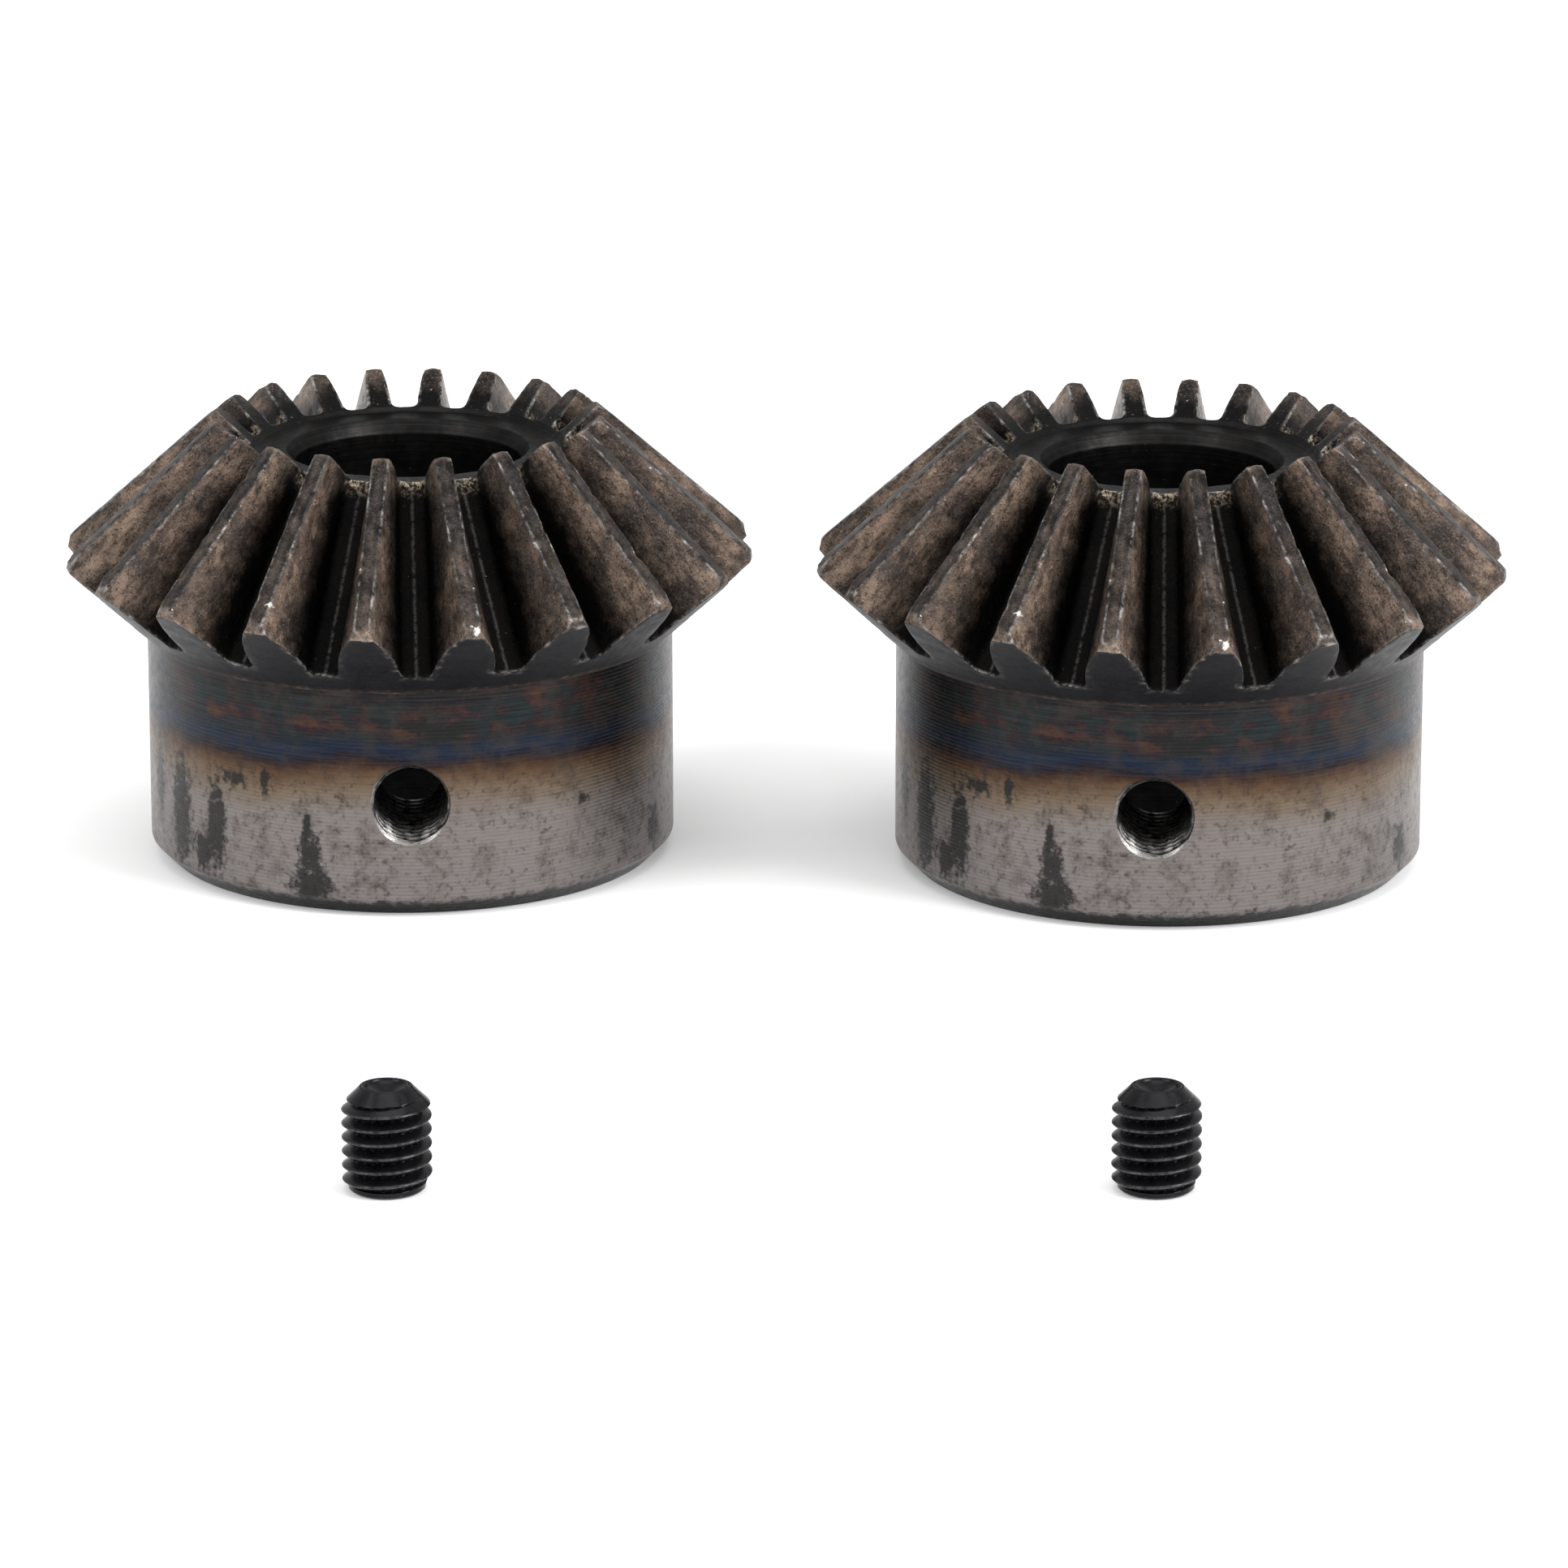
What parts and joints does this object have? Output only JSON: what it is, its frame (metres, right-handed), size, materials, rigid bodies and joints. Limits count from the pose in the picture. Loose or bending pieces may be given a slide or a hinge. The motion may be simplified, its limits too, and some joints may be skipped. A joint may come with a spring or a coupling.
{
  "type": "bevel gear pair",
  "caption": "Pair of equal straight bevel gears with plain bores and long hubs, each with a tapped cross hole and a loose cup-point set screw, for turning a drive through a right angle.",
  "frame": {"origin": "centre of the left gear's bore at its hub face", "axes": "+Z along the left gear's bore towards its teeth, +X towards the right gear, the set screws stand towards -Y"},
  "size_m": [0.0896, 0.0902, 0.0279],
  "materials": {
    "gear_steel": "machined and induction-hardened, with dark heat-tinted bands on the hub",
    "set_screw_steel": "black oxide, satin"
  },
  "bodies": {
    "left_station": {"set_screw_left": "set_screw_steel"},
    "left_gear": {"gear_left": "gear_steel"},
    "right_station": {"set_screw_right": "set_screw_steel"},
    "right_gear": {"gear_right": "gear_steel"}
  },
  "joints": [
    {"name": "left_gear_spin", "type": "hinge", "parent": "left_station", "child": "left_gear", "pos_m": [0, 0, 0], "axis": [0, 0, 1], "continuous": true},
    {"name": "right_station_swing", "type": "hinge", "parent": "left_station", "child": "right_station", "pos_m": [0.0234, 0, 0.0146], "axis": [0, -1, 0], "range_deg": [0, 90]},
    {"name": "right_gear_spin", "type": "hinge", "parent": "right_station", "child": "right_gear", "pos_m": [0.0468, 0, 0], "axis": [0, 0, 1], "continuous": true}
  ],
  "couplings": [
    {"joint": "right_gear_spin", "follows": "left_gear_spin", "ratio": -1}
  ]
}
